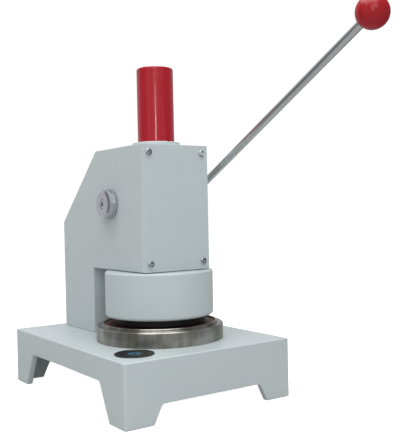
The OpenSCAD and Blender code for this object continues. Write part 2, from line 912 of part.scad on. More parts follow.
base();
column_casting();
front_cover();
cover_screws();
column_bolts();
badge();
anvil();
cutting_pad();
anvil_bolts();
drum();
drum_bolts();
lower_guide_bush();
upper_guide_bush();
ram_buffer();
spring_tube();
tube_collar();
collar_screws();
return_spring();
shaft_bush_left();
shaft_bush_right();
thrust_washers();
lever_shaft();
pinion();
pinion_key();
hub_cap();
hub_screw();
lever_boss();
boss_pin();
lever_rod();
ball_knob();
ram();
spring_seat();
seat_nut();
blade_carrier();
carrier_bolt();
ring_blade();
blade_screws();
presser_ring();
presser_screws();
presser_springs();
ejector_plate();
ejector_pad();
ejector_pins();
ejector_springs();
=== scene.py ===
import math

import bpy
from mathutils import Matrix, Vector


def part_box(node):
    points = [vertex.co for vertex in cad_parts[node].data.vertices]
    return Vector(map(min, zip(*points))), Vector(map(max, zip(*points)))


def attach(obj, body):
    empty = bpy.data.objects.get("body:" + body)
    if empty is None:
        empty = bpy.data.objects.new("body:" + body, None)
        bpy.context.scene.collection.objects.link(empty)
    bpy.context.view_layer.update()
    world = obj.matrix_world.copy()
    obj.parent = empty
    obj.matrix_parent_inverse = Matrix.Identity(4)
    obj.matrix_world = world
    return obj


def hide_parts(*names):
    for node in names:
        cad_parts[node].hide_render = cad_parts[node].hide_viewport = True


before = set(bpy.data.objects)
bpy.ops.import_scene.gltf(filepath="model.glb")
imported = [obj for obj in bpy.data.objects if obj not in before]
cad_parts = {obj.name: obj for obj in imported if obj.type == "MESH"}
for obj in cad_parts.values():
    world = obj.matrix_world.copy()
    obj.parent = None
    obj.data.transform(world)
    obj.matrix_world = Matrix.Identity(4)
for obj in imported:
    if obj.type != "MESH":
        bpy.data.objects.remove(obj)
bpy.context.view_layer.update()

# ---- Camera ----
# Stands off the press's front left corner, level with the lever shaft, and leans a degree to
# its left. Sizes are in metres, and the lens is for a picture 406 wide and 434 high.
sensor_side = 0.036
picture_height = 434
focal_pixels = 714.64
camera_place = (-0.5261, -0.7819, 0.2525)
camera_heading = math.radians(35.38)
camera_drop = math.radians(0.41)
camera_lean = math.radians(-1.20)

bpy.ops.object.camera_add()
camera = bpy.context.object
camera.data.sensor_width = sensor_side * 1000
camera.data.lens = focal_pixels * sensor_side * 1000 / picture_height
camera.data.clip_start = 0.05
camera.data.clip_end = 60
camera.matrix_world = (
    Matrix.Translation(camera_place)
    @ Matrix.Rotation(-camera_heading, 4, "Z")
    @ Matrix.Rotation(math.pi / 2 - camera_drop, 4, "X")
    @ Matrix.Rotation(camera_lean, 4, "Z")
)
bpy.context.scene.camera = camera

# ---- Studio ----
# A white floor in a white room, greyer overhead. A wide soft lamp hangs above, weaker ones stand
# to the left, to the right and behind the camera, and a small one is just over the camera. Grey
# walls round the sides and the back, which only reflections see, put dark bands in the metal.
sky_tint = (0.97, 0.99, 1.0, 1)
sky_strength = 0.1
sky_start = 0.7
horizon_strength = 0.76
horizon_end = 0.1
room_in_metal = 0.6
backdrop_strength = 1.05
floor_grey = 0.6
floor_glow = 0.94
floor_in_metal = 0.5
overhead_watts = 38.0
left_watts = 1.0
right_watts = 0.6
front_watts = 7.6
flash_watts = 0.5
middle_y = 0.068
wall_reach = 0.5
wall_height = 1.2
wall_sides = 72
wall_blue = 1.04
wall_behind = 0.6
wall_bands = [
    # degrees to the right of the camera's side, brightness in a reflection
    (45, 0.45),
    (60, 0.16),
    (95, 0.16),
    (115, 0.35),
    (245, 0.6),
    (265, 0.2),
    (300, 0.2),
    (315, 0.5),
]


def deselect_all():
    """Leaves edit mode and selects nothing, so that the next operator acts on its own piece."""
    if bpy.context.object and bpy.context.object.mode != "OBJECT":
        bpy.ops.object.mode_set(mode="OBJECT")
    bpy.ops.object.select_all(action="DESELECT")


def new_material(name):
    """A node material, with its nodes and links at hand."""
    material = bpy.data.materials.new(name)
    material.use_nodes = True
    return material, material.node_tree.nodes, material.node_tree.links


bpy.context.scene.view_settings.view_transform = "Standard"
world = bpy.data.worlds.new("studio")
bpy.context.scene.world = world
world.use_nodes = True
world_nodes = world.node_tree.nodes
world_links = world.node_tree.links
direction = world_nodes.new("ShaderNodeTexCoord")
upward = world_nodes.new("ShaderNodeSeparateXYZ")
world_links.new(direction.outputs["Generated"], upward.inputs["Vector"])
strength_by_height = world_nodes.new("ShaderNodeMapRange")
strength_by_height.interpolation_type = "SMOOTHSTEP"
strength_by_height.inputs["From Min"].default_value = horizon_end
strength_by_height.inputs["From Max"].default_value = sky_start
strength_by_height.inputs["To Min"].default_value = horizon_strength
strength_by_height.inputs["To Max"].default_value = sky_strength
world_links.new(upward.outputs["Z"], strength_by_height.inputs["Value"])
ray_kind = world_nodes.new("ShaderNodeLightPath")
strength_by_ray = world_nodes.new("ShaderNodeMapRange")
strength_by_ray.inputs["To Min"].default_value = 1.0
strength_by_ray.inputs["To Max"].default_value = room_in_metal
world_links.new(ray_kind.outputs["Is Glossy Ray"], strength_by_ray.inputs["Value"])
surround_strength = world_nodes.new("ShaderNodeMath")
surround_strength.operation = "MULTIPLY"
world_links.new(strength_by_height.outputs["Result"], surround_strength.inputs[0])
world_links.new(strength_by_ray.outputs["Result"], surround_strength.inputs[1])
surround = world_nodes["Background"]
surround.inputs["Color"].default_value = sky_tint
world_links.new(surround_strength.outputs["Value"], surround.inputs["Strength"])
backdrop_white = world_nodes.new("ShaderNodeBackground")
backdrop_white.inputs["Color"].default_value = (1, 1, 1, 1)
backdrop_white.inputs["Strength"].default_value = backdrop_strength
choice = world_nodes.new("ShaderNodeMixShader")
world_links.new(ray_kind.outputs["Is Camera Ray"], choice.inputs["Fac"])
world_links.new(surround.outputs["Background"], choice.inputs[1])
world_links.new(backdrop_white.outputs["Background"], choice.inputs[2])
world_links.new(choice.outputs["Shader"], world_nodes["World Output"].inputs["Surface"])

lamps = [
    # name, place, point that it faces, width, height, watts
    ("lamp_overhead", (-0.15, -0.1, 1.7), (0.0, 0.05, 0.1), 1.8, 1.8, overhead_watts),
    ("lamp_left", (-1.7, -0.2, 0.9), (0.0, 0.05, 0.2), 0.9, 1.4, left_watts),
    ("lamp_right", (1.6, -1.0, 1.0), (0.0, 0.05, 0.2), 0.9, 1.4, right_watts),
    ("lamp_front", (-0.9, -1.6, 1.3), (0.0, 0.05, 0.2), 1.2, 0.8, front_watts),
    ("lamp_flash", (-0.53, -0.80, 0.51), (0.0, middle_y, 0.35), 0.10, 0.14, flash_watts),
]
for lamp_name, lamp_place, lamp_aim, lamp_width, lamp_height, lamp_watts in lamps:
    bpy.ops.object.light_add(type="AREA", location=lamp_place)
    lamp = bpy.context.object
    lamp.name = lamp_name
    lamp.data.shape = "RECTANGLE"
    lamp.data.size = lamp_width
    lamp.data.size_y = lamp_height
    lamp.data.energy = lamp_watts
    aim = Vector(lamp_aim) - Vector(lamp_place)
    lamp.rotation_euler = aim.to_track_quat("-Z", "Y").to_euler()

deselect_all()
bpy.ops.mesh.primitive_plane_add(size=12, location=(0, 0, 0))
floor = bpy.context.object
floor.name = "studio_floor"

# The camera sees the floor glowing white, reflections see an even grey, and light from the press
# meets matt paper
floor_paper, floor_nodes, floor_links = new_material("floor_paper")
floor_shader = floor_nodes["Principled BSDF"]
floor_shader.inputs["Base Color"].default_value = (floor_grey, floor_grey, floor_grey, 1)
floor_shader.inputs["Roughness"].default_value = 0.9
floor_shader.inputs["Specular IOR Level"].default_value = 0.0
floor_shader.inputs["Emission Color"].default_value = (1, 1, 1, 1)
floor_ray = floor_nodes.new("ShaderNodeLightPath")
glow_strength = floor_nodes.new("ShaderNodeMath")
glow_strength.operation = "MULTIPLY"
glow_strength.inputs[1].default_value = floor_glow
floor_links.new(floor_ray.outputs["Is Camera Ray"], glow_strength.inputs[0])
floor_links.new(glow_strength.outputs["Value"], floor_shader.inputs["Emission Strength"])
reflected_floor = floor_nodes.new("ShaderNodeEmission")
reflected_floor.inputs["Color"].default_value = (floor_in_metal, floor_in_metal, floor_in_metal, 1)
floor_choice = floor_nodes.new("ShaderNodeMixShader")
floor_links.new(floor_ray.outputs["Is Glossy Ray"], floor_choice.inputs["Fac"])
floor_links.new(floor_shader.outputs["BSDF"], floor_choice.inputs[1])
floor_links.new(reflected_floor.outputs["Emission"], floor_choice.inputs[2])
floor_links.new(floor_choice.outputs["Shader"], floor_nodes["Material Output"].inputs["Surface"])
floor_paper.cycles.emission_sampling = "NONE"
floor.data.materials.append(floor_paper)

deselect_all()
bpy.ops.mesh.primitive_cylinder_add(
    vertices=wall_sides,
    radius=wall_reach,
    depth=wall_height,
    end_fill_type="NOTHING",
    location=(0, 0, wall_height / 2),
)
walls = bpy.context.object
walls.name = "reflected_walls"
camera_side = math.atan2(camera.location.y - middle_y, camera.location.x)
walls.rotation_euler = (0, 0, camera_side)
bpy.ops.object.mode_set(mode="EDIT")
bpy.ops.mesh.select_mode(type="FACE")
bpy.ops.mesh.select_all(action="DESELECT")
bpy.ops.object.mode_set(mode="OBJECT")
for face in walls.data.polygons:
    face.select = abs(math.atan2(face.center.y, face.center.x)) < math.radians(wall_bands[0][0])
bpy.ops.object.mode_set(mode="EDIT")
bpy.ops.mesh.delete(type="FACE")
bpy.ops.object.mode_set(mode="OBJECT")


def wall_colour(brightness):
    """A grey that is a little blue."""
    return (brightness, brightness, brightness * wall_blue, 1)


wall_cloth, wall_nodes, wall_links = new_material("wall_cloth")
wall_place = wall_nodes.new("ShaderNodeTexCoord")
wall_turn = wall_nodes.new("ShaderNodeTexGradient")
wall_turn.gradient_type = "RADIAL"
wall_links.new(wall_place.outputs["Object"], wall_turn.inputs["Vector"])
wall_tone = wall_nodes.new("ShaderNodeValToRGB")
wall_links.new(wall_turn.outputs["Fac"], wall_tone.inputs["Fac"])
for degrees_right, brightness in wall_bands:
    around_share = (0.5 + degrees_right / 360) % 1
    stop = wall_tone.color_ramp.elements.new(around_share)
    stop.color = wall_colour(brightness)
for end_stop in (wall_tone.color_ramp.elements[0], wall_tone.color_ramp.elements[-1]):
    end_stop.color = wall_colour(wall_behind)
wall_glow = wall_nodes.new("ShaderNodeEmission")
wall_links.new(wall_tone.outputs["Color"], wall_glow.inputs["Color"])
wall_links.new(wall_glow.outputs["Emission"], wall_nodes["Material Output"].inputs["Surface"])
wall_cloth.cycles.emission_sampling = "NONE"
walls.data.materials.append(wall_cloth)
walls.location.y = middle_y
walls.visible_camera = False
walls.visible_diffuse = False
walls.visible_shadow = False

# ---- Base casting ----
# A hollow iron table with four skirts, arched between its corner feet. The casting is filled,
# sprayed light grey and baked, so its edges are soft and its faces have a fine orange peel.


def add_group(name, inputs, outputs):
    """A shader node group with named number or vector inputs and its outputs."""
    tree = bpy.data.node_groups.new(name, "ShaderNodeTree")
    for socket_name, kind, value in inputs:
        socket = tree.interface.new_socket(socket_name, in_out="INPUT", socket_type=kind)
        if value is not None:
            socket.default_value = value
    for socket_name, kind in outputs:
        tree.interface.new_socket(socket_name, in_out="OUTPUT", socket_type=kind)
    return tree, tree.nodes.new("NodeGroupInput"), tree.nodes.new("NodeGroupOutput")


def noise_in(tree, vector, scale, detail=2.0):
    """A noise texture in a group, read at a vector."""
    noise = tree.nodes.new("ShaderNodeTexNoise")
    noise.inputs["Detail"].default_value = detail
    noise.inputs["Roughness"].default_value = 0.55
    tree.links.new(vector, noise.inputs["Vector"])
    if isinstance(scale, (int, float)):
        noise.inputs["Scale"].default_value = scale
    else:
        tree.links.new(scale, noise.inputs["Scale"])
    return noise.outputs["Fac"]


def math_in(tree, operation, first, second=None):
    """A math node in a group, with numbers or sockets as its two values."""
    node = tree.nodes.new("ShaderNodeMath")
    node.operation = operation
    for slot_number, value in enumerate((first, second)):
        if isinstance(value, (int, float)):
            node.inputs[slot_number].default_value = value
        elif value is not None:
            tree.links.new(value, node.inputs[slot_number])
    return node.outputs["Value"]


# Fine lumps of sprayed paint, and the broad cloudiness of its gloss
paint_skin, skin_in, skin_out = add_group(
    "paint_skin",
    [("Vector", "NodeSocketVector", None), ("Lump Scale", "NodeSocketFloat", 900.0)],
    [("Height", "NodeSocketFloat"), ("Cloud", "NodeSocketFloat")],
)
lumps = noise_in(paint_skin, skin_in.outputs["Vector"], skin_in.outputs["Lump Scale"], detail=1.0)
cloud = noise_in(paint_skin, skin_in.outputs["Vector"], scale=14.0, detail=5.0)
paint_skin.links.new(lumps, skin_out.inputs["Height"])
paint_skin.links.new(cloud, skin_out.inputs["Cloud"])

# A mask for a painted highlight along outer edges: how far a point lies on an outer edge, from how the
# surface bulges there
painted_edge_highlight, highlight_in, highlight_out = add_group(
    "painted_edge_highlight",
    [("Vector", "NodeSocketVector", None), ("Bulge", "NodeSocketFloat", 0.53)],
    [("Mask", "NodeSocketFloat")],
)
bulge = painted_edge_highlight.nodes.new("ShaderNodeNewGeometry").outputs["Pointiness"]
over = math_in(painted_edge_highlight, "SUBTRACT", bulge, highlight_in.outputs["Bulge"])
steep = math_in(painted_edge_highlight, "MULTIPLY", over, 12.0)
patchy = noise_in(painted_edge_highlight, highlight_in.outputs["Vector"], scale=60.0, detail=4.0)
patchy_highlight = math_in(painted_edge_highlight, "MULTIPLY", steep, patchy)
clamp_node = painted_edge_highlight.nodes.new("ShaderNodeClamp")
painted_edge_highlight.links.new(patchy_highlight, clamp_node.inputs["Value"])
painted_edge_highlight.links.new(clamp_node.outputs["Result"], highlight_out.inputs["Mask"])


def object_place(nodes, links, centre=(0, 0, 0), turn=(0, 0, 0)):
    """Object coordinates, moved so that a centre is at 0 and turned."""
    where = nodes.new("ShaderNodeTexCoord")
    shift = nodes.new("ShaderNodeVectorMath")
    shift.operation = "SUBTRACT"
    shift.inputs[1].default_value = centre
    links.new(where.outputs["Object"], shift.inputs[0])
    mapping = nodes.new("ShaderNodeMapping")
    mapping.vector_type = "POINT"
    mapping.inputs["Rotation"].default_value = turn
    links.new(shift.outputs["Vector"], mapping.inputs["Vector"])
    return mapping.outputs["Vector"]


def place_group(nodes, links, tree, vector, **values):
    """One use of a node group, read at a vector and with its own values."""
    group = nodes.new("ShaderNodeGroup")
    group.node_tree = tree
    links.new(vector, group.inputs["Vector"])
    for socket_name, value in values.items():
        group.inputs[socket_name.replace("_", " ")].default_value = value
    return group


def blend_colours(nodes, links, mask, low, high):
    """A colour between two, by a mask."""
    mix = nodes.new("ShaderNodeMix")
    mix.data_type = "RGBA"
    links.new(mask, mix.inputs["Factor"])
    for socket, colour in ((mix.inputs["A"], low), (mix.inputs["B"], high)):
        if isinstance(colour, tuple):
            socket.default_value = (*colour, 1)
        else:
            links.new(colour, socket)
    return mix.outputs["Result"]


def spread_value(nodes, links, value, middle, spread):
    """A number that goes as far as a spread below and above its middle, by a noise value."""
    ramp = nodes.new("ShaderNodeMapRange")
    ramp.inputs["From Min"].default_value = 0.3
    ramp.inputs["From Max"].default_value = 0.7
    ramp.inputs["To Min"].default_value = middle - spread
    ramp.inputs["To Max"].default_value = middle + spread
    links.new(value, ramp.inputs["Value"])
    return ramp.outputs["Result"]


def add_bump(nodes, links, shader, height, depth):
    """Bumps on a shader, as deep as depth where the height is 1."""
    bump = nodes.new("ShaderNodeBump")
    bump.inputs["Distance"].default_value = depth
    links.new(height, bump.inputs["Height"])
    links.new(bump.outputs["Normal"], shader.inputs["Normal"])


def paint_material(name, colour, shade, edge, roughness, lump_depth):
    """Sprayed paint: two close tones, a paler painted highlight along outer edges or none, cloudy
    gloss and an orange peel.
    """
    material, nodes, links = new_material(name)
    shader = nodes["Principled BSDF"]
    place = object_place(nodes, links)
    skin = place_group(nodes, links, paint_skin, place)
    tone = blend_colours(nodes, links, skin.outputs["Cloud"], colour, shade)
    # The edge colour is a painted highlight, laid on the outer edges by the mask.
    if edge:
        edge_light = place_group(nodes, links, painted_edge_highlight, place)
        tone = blend_colours(nodes, links, edge_light.outputs["Mask"], tone, edge)
    links.new(tone, shader.inputs["Base Color"])
    gloss = spread_value(nodes, links, skin.outputs["Cloud"], roughness, spread=0.05)
    links.new(gloss, shader.inputs["Roughness"])
    add_bump(nodes, links, shader, skin.outputs["Height"], lump_depth)
    return material


def make_active(piece):
    """Selects a piece alone, for the next operator."""
    deselect_all()
    piece.select_set(True)
    bpy.context.view_layer.objects.active = piece


def clear_selection(piece, select_mode="FACE"):
    """Makes a piece the active one, with nothing selected in it, and gives its mesh."""
    make_active(piece)
    bpy.ops.object.mode_set(mode="EDIT")
    bpy.ops.mesh.select_mode(type=select_mode)
    bpy.ops.mesh.select_all(action="DESELECT")
    bpy.ops.object.mode_set(mode="OBJECT")
    return piece.data


def select_edges(piece, wanted):
    """Selects the edges whose two ends pass a test, and stays in edit mode."""
    mesh = clear_selection(piece, "EDGE")
    for edge in mesh.edges:
        ends = [mesh.vertices[v].co for v in edge.vertices]
        edge.select = wanted(*ends)
    bpy.ops.object.mode_set(mode="EDIT")


def edit_all(piece):
    """Opens a piece in edit mode with all of it selected."""
    clear_selection(piece)
    bpy.ops.object.mode_set(mode="EDIT")
    bpy.ops.mesh.select_all(action="SELECT")


def close_holes(piece):
    """Closes a piece's open rings with faces, and turns all its faces outward."""
    edit_all(piece)
    bpy.ops.mesh.fill_holes(sides=0)
    bpy.ops.mesh.select_all(action="SELECT")
    bpy.ops.mesh.normals_make_consistent(inside=False)


def new_block(name, low, high):
    """A cube between two corners, with its place and size in its mesh."""
    deselect_all()
    low, high = Vector(low), Vector(high)
    bpy.ops.mesh.primitive_cube_add(size=1, location=(low + high) / 2)
    block = bpy.context.object
    block.name = name
    block.scale = high - low
    bpy.ops.object.transform_apply()
    return block


def use_modifier(piece, kind, **settings):
    """Adds a modifier to a piece, sets it and applies it."""
    make_active(piece)
    bpy.ops.object.modifier_add(type=kind)
    modifier = piece.modifiers[-1]
    for setting, value in settings.items():
        setattr(modifier, setting, value)
    bpy.ops.object.modifier_apply(modifier=modifier.name)


def cut_away(piece, *cutters):
    """Takes the cutters' shapes out of a piece, and deletes them."""
    for cutter in cutters:
        use_modifier(piece, "BOOLEAN", object=cutter, operation="DIFFERENCE", solver="EXACT")
        bpy.data.objects.remove(cutter, do_unlink=True)


def soften_edges(piece, width, segments=3):
    """Rounds a piece's sharp edges and shades it smooth between them."""
    use_modifier(
        piece,
        "BEVEL",
        width=width,
        segments=segments,
        limit_method="ANGLE",
        angle_limit=math.radians(30),
        miter_outer="MITER_ARC",
    )
    shade_turned(piece)


def shade_turned(piece, angle=32):
    """Smooth shading where faces meet at less than an angle."""
    make_active(piece)
    bpy.ops.object.shade_smooth_by_angle(angle=math.radians(angle))


def finish_piece(piece, material, body, slot, *nodes):
    """Gives a piece even shading and its material, and says what it rides on and stands for."""
    use_modifier(piece, "WEIGHTED_NORMAL", keep_sharp=True)
    piece.data.materials.clear()
    piece.data.materials.append(material)
    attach(piece, body)
    if nodes:
        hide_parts(*nodes)


base_low, base_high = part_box("base")
base_corner_r = 0.004
hollow_corner_r = 0.006
base_edge_r = 0.0016
skirt = 0.009
top_plate = 0.012
foot_low_w = 0.040
foot_slope = 0.5
front_arch_h = 0.024
side_arch_h = 0.048
arch_corner = 0.00405
below_feet = 0.0001
through = 0.02

base_table = new_block("base_table", base_low, base_high)
select_edges(base_table, lambda a, b: abs(a.z - b.z) > base_edge_r)
bpy.ops.mesh.bevel(offset=base_corner_r, segments=5, affect="EDGES")

hollow = new_block(
    "hollow",
    (base_low.x + skirt, base_low.y + skirt, -through),
    (base_high.x - skirt, base_high.y - skirt, base_high.z - top_plate),
)
select_edges(hollow, lambda a, b: abs(a.z - b.z) > base_edge_r)
bpy.ops.mesh.bevel(offset=hollow_corner_r, segments=4, affect="EDGES")


def arch_cutter(axis, low, high, height):
    """A block that cuts an arch through two skirts: narrower at its top, with round corners."""
    across = 1 - axis
    start, end = [0, 0, 0], [0, 0, 0]
    start[axis], end[axis] = low[axis] + foot_low_w, high[axis] - foot_low_w
    start[across], end[across] = low[across] - through, high[across] + through
    start[2], end[2] = 0, height
    block = new_block("arch", start, end)
    middle = (low + high) / 2
    sizes = [1, 1, 1]
    sizes[axis] = 1 - 2 * foot_slope * height / (end[axis] - start[axis])
    half = height / 2
    select_edges(block, lambda a, b: min(a.z, b.z) > half)
    bpy.ops.transform.resize(value=sizes, center_override=(middle.x, middle.y, height))
    select_edges(block, lambda a, b: min(a.z, b.z) > half and abs(a[across] - b[across]) > through)
    bpy.ops.mesh.bevel(offset=arch_corner, segments=5, affect="EDGES")
    select_edges(block, lambda a, b: max(a.z, b.z) < half)
    bpy.ops.transform.translate(value=(0, 0, -below_feet))
    return block


front_arch = arch_cutter(0, base_low, base_high, front_arch_h)
side_arch = arch_cutter(1, base_low, base_high, side_arch_h)
cut_away(base_table, hollow, front_arch, side_arch)
soften_edges(base_table, base_edge_r)

# The third colour is a painted highlight on the casting's outer edges.
casting_paint = paint_material(
    "casting_paint",
    (0.50, 0.555, 0.565),
    (0.475, 0.53, 0.54),
    (0.62, 0.66, 0.67),
    roughness=0.36,
    lump_depth=0.00004,
)
finish_piece(base_table, casting_paint, "frame", "cast_paint", "base")

# ---- Column and casing ----
# One hollow casting that stands on the base and leans over the anvil, with a sloping back. It is
# painted with the base, and bored through the paint for the shaft and for the ram's guides.
case_low, case_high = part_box("column_casting")
column_front = 0.1653
casing_under = 0.1741
slope_start = Vector((0, case_high.y, 0.2415))
slope_end = Vector((0, 0.1512, case_high.z))
press_y = 0.068
press_axis = (0, press_y, 0)
shaft_y = 0.1068
shaft_z = 0.266
shaft_axis = (0, shaft_y, shaft_z)
case_edge_r = 0.0011
case_side = 0.014
case_wall = 0.012
case_top = 0.016
case_floor = 0.014
shaft_bore_r = 0.013
guide_bore_r = 0.024
ram_rod_bore_r = 0.013


def casing_shape(name, side, front, wall, plate, floor_z):
    """The outline of the casting, or of its cavity when the walls have a thickness."""
    shape = new_block(
        name,
        (case_low.x + side, case_low.y - front, case_low.z + floor_z),
        (case_high.x - side, case_high.y - wall, case_high.z - plate),
    )
    run = slope_end - slope_start
    outward = Vector((0, run.z, -run.y)).normalized()
    edit_all(shape)
    bpy.ops.mesh.bisect(
        plane_co=slope_start - outward * wall,
        plane_no=outward,
        use_fill=True,
        clear_outer=True,
    )
    bpy.ops.object.mode_set(mode="OBJECT")
    notch = new_block(
        "notch",
        (case_low.x - through, case_low.y - through - front, case_low.z - through),
        (case_high.x + through, column_front + wall, casing_under + plate),
    )
    cut_away(shape, notch)
    return shape


def new_bar(name, radius, start, end, sides=96):
    """A straight round bar between two points, with its place in its mesh."""
    deselect_all()
    start, end = Vector(start), Vector(end)
    bpy.ops.mesh.primitive_cylinder_add(
        vertices=sides, radius=radius, depth=(end - start).length, location=(start + end) / 2
    )
    bar = bpy.context.object
    bar.name = name
    bar.rotation_euler = (end - start).to_track_quat("Z", "Y").to_euler()
    bpy.ops.object.transform_apply()
    return bar


casing = casing_shape("casing_and_column", 0, 0, 0, 0, 0)
cavity = casing_shape("cavity", case_side, through, case_wall, case_top, case_floor)
shaft_in = (case_low.x - through, shaft_y, shaft_z)
shaft_out = (case_high.x + through, shaft_y, shaft_z)
ram_bores = [
    # name, radius, lower end, upper end
    ("guide_bore", guide_bore_r, casing_under - through, casing_under + case_top + through),
    ("ram_rod_bore", ram_rod_bore_r, case_high.z - case_top - through, case_high.z + through),
]
cut_away(casing, cavity, new_bar("shaft_bore", shaft_bore_r, shaft_in, shaft_out))
for bore_name, bore_r, bore_low, bore_high in ram_bores:
    cut_away(casing, new_bar(bore_name, bore_r, (0, press_y, bore_low), (0, press_y, bore_high)))
soften_edges(casing, case_edge_r)
finish_piece(casing, casting_paint, "frame", "cast_paint", "column_casting")

# ---- Front cover ----
# A flat steel plate that closes the casing, sprayed with the same paint before it is screwed on.
# Its edges are only broken, so a fine seam shows where it meets the casting.
cover_low, cover_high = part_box("front_cover")
cover_edge_r = 0.0006
cover_screw_x = 0.042
cover_screw_zs = (0.1853, 0.3325)
cover_hole_r = 0.0026
cover_plate = new_block("cover_plate", cover_low, cover_high)
for hole_x in (-cover_screw_x, cover_screw_x):
    for hole_z in cover_screw_zs:
        hole_start = (hole_x, cover_low.y - through, hole_z)
        hole_end = (hole_x, cover_high.y + through, hole_z)
        cut_away(cover_plate, new_bar("screw_hole", cover_hole_r, hole_start, hole_end, 32))
soften_edges(cover_plate, cover_edge_r)
finish_piece(cover_plate, casting_paint, "frame", "cast_paint", "front_cover")

# ---- Cover screws ----
# Four M5 pan-head screws with cross recesses, nickel plated. Each is screwed through the cover
# into the casting.


def arc(centre_r, centre_z, radius, start, end, steps):
    """Points of an arc in a turned outline, as pairs of distance from the axis and height."""
    angles = [math.radians(start + (end - start) * i / steps) for i in range(steps + 1)]
    return [(centre_r + radius * math.cos(a), centre_z + radius * math.sin(a)) for a in angles]


def turn_piece(name, outline, place=(0, 0, 0), along=(0, 0, 1), sides=128):
    """Turns an outline round an axis: each step extrudes the last ring and sizes it anew.
    An outline that ends where it starts, or starts and ends on the axis, makes a closed piece."""
    deselect_all()
    smallest = 1e-6
    bpy.ops.mesh.primitive_circle_add(
        vertices=sides, radius=max(outline[0][0], smallest), location=(0, 0, outline[0][1])
    )
    piece = bpy.context.object
    piece.name = name
    bpy.ops.object.transform_apply()
    bpy.ops.object.mode_set(mode="EDIT")
    bpy.ops.mesh.select_mode(type="EDGE")
    bpy.ops.mesh.select_all(action="SELECT")
    last_r, last_z = max(outline[0][0], smallest), outline[0][1]
    for next_r, next_z in outline[1:]:
        next_r = max(next_r, smallest)
        bpy.ops.mesh.extrude_region_move(
            TRANSFORM_OT_translate={"value": (0, 0, next_z - last_z)}
        )
        bpy.ops.transform.resize(
            value=(next_r / last_r, next_r / last_r, 1), center_override=(0, 0, next_z)
        )
        last_r, last_z = next_r, next_z
    bpy.ops.mesh.select_all(action="SELECT")
    bpy.ops.mesh.remove_doubles(threshold=3 * smallest)
    bpy.ops.mesh.select_all(action="SELECT")
    bpy.ops.mesh.normals_make_consistent(inside=False)
    bpy.ops.object.mode_set(mode="OBJECT")
    piece.location = place
    piece.rotation_euler = Vector(along).to_track_quat("Z", "Y").to_euler()
    bpy.ops.object.transform_apply()
    shade_turned(piece)
    return piece


def metal_material(
    name, colour, shade, roughness, mark_depth, centre=(0, 0, 0), turn=(0, 0, 0), tool_marks=None
):
    """Worked metal: fine marks in tone and height, as rings round an axis unless others are given."""
    material, nodes, links = new_material(name)
    shader = nodes["Principled BSDF"]
    shader.inputs["Metallic"].default_value = 1.0
    place = object_place(nodes, links, centre, turn)
    marks = place_group(nodes, links, tool_marks or lathe_marks, place)
    tone = blend_colours(nodes, links, marks.outputs["Tone"], colour, shade)
    links.new(tone, shader.inputs["Base Color"])
    gloss = spread_value(nodes, links, marks.outputs["Tone"], roughness, spread=0.06)
    links.new(gloss, shader.inputs["Roughness"])
    add_bump(nodes, links, shader, marks.outputs["Height"], mark_depth)
    return material


# Rings that a lathe tool leaves round the Z axis, and broader bands of tone
lathe_marks, marks_in, marks_out = add_group(
    "lathe_marks",
    [("Vector", "NodeSocketVector", None), ("Ring Scale", "NodeSocketFloat", 1400.0)],
    [("Height", "NodeSocketFloat"), ("Tone", "NodeSocketFloat")],
)
split = lathe_marks.nodes.new("ShaderNodeSeparateXYZ")
lathe_marks.links.new(marks_in.outputs["Vector"], split.inputs["Vector"])
across_x = math_in(lathe_marks, "MULTIPLY", split.outputs["X"], split.outputs["X"])
across_y = math_in(lathe_marks, "MULTIPLY", split.outputs["Y"], split.outputs["Y"])
from_axis = math_in(lathe_marks, "SQRT", math_in(lathe_marks, "ADD", across_x, across_y))
around = math_in(lathe_marks, "ARCTAN2", split.outputs["Y"], split.outputs["X"])
section = lathe_marks.nodes.new("ShaderNodeCombineXYZ")
lathe_marks.links.new(from_axis, section.inputs["X"])
lathe_marks.links.new(split.outputs["Z"], section.inputs["Y"])
lathe_marks.links.new(math_in(lathe_marks, "MULTIPLY", around, 0.0006), section.inputs["Z"])
rings = noise_in(lathe_marks, section.outputs["Vector"], marks_in.outputs["Ring Scale"])
bands = noise_in(lathe_marks, section.outputs["Vector"], scale=260.0, detail=4.0)
ring_tone = math_in(lathe_marks, "MULTIPLY", rings, 0.4)
band_tone = math_in(lathe_marks, "MULTIPLY", bands, 0.6)
lathe_marks.links.new(rings, marks_out.inputs["Height"])
lathe_marks.links.new(math_in(lathe_marks, "ADD", ring_tone, band_tone), marks_out.inputs["Tone"])

pan_r = 0.0047
pan_h = 0.0024
pan_rim = 0.0009
pan_edge_r = 0.0015
shank_r = 0.0025
shank_len = 0.015
recess_reach = 0.0023
recess_half = 0.00055
recess_floor = 0.00084
recess_turns = (20, 110)
shank = [(0, -shank_len), (shank_r, -shank_len), (shank_r, 0)]
dome = arc(pan_r - pan_edge_r, pan_rim, pan_edge_r, 0, 90, 5)
screw_outline = shank + [(pan_r, 0)] + dome + [(0, pan_h)]
screw = turn_piece("cover_screw", screw_outline, along=(0, -1, 0), sides=40)
for recess_turn in recess_turns:
    recess = new_block(
        "recess",
        (-recess_reach, -pan_h - recess_half, -recess_half),
        (recess_reach, -recess_floor, recess_half),
    )
    recess.rotation_euler = (0, math.radians(recess_turn), 0)
    make_active(recess)
    bpy.ops.object.transform_apply()
    cut_away(screw, recess)

screw_copies = []
for screw_x in (-cover_screw_x, cover_screw_x):
    for screw_z in cover_screw_zs:
        make_active(screw)
        bpy.ops.object.duplicate()
        screw_copy = bpy.context.object
        screw_copy.location = (screw_x, cover_low.y, screw_z)
        bpy.ops.object.transform_apply()
        screw_copies.append(screw_copy)
bpy.data.objects.remove(screw, do_unlink=True)
deselect_all()
for screw_copy in screw_copies:
    screw_copy.select_set(True)
bpy.context.view_layer.objects.active = screw_copies[0]
bpy.ops.object.join()
cover_screws = bpy.context.object
cover_screws.name = "cover_screw_set"
shade_turned(cover_screws)
screw_nickel = metal_material(
    "screw_nickel", (0.60, 0.64, 0.65), (0.42, 0.45, 0.46), roughness=0.2, mark_depth=0.000005
)
finish_piece(cover_screws, screw_nickel, "frame", "screw_nickel", "cover_screws")

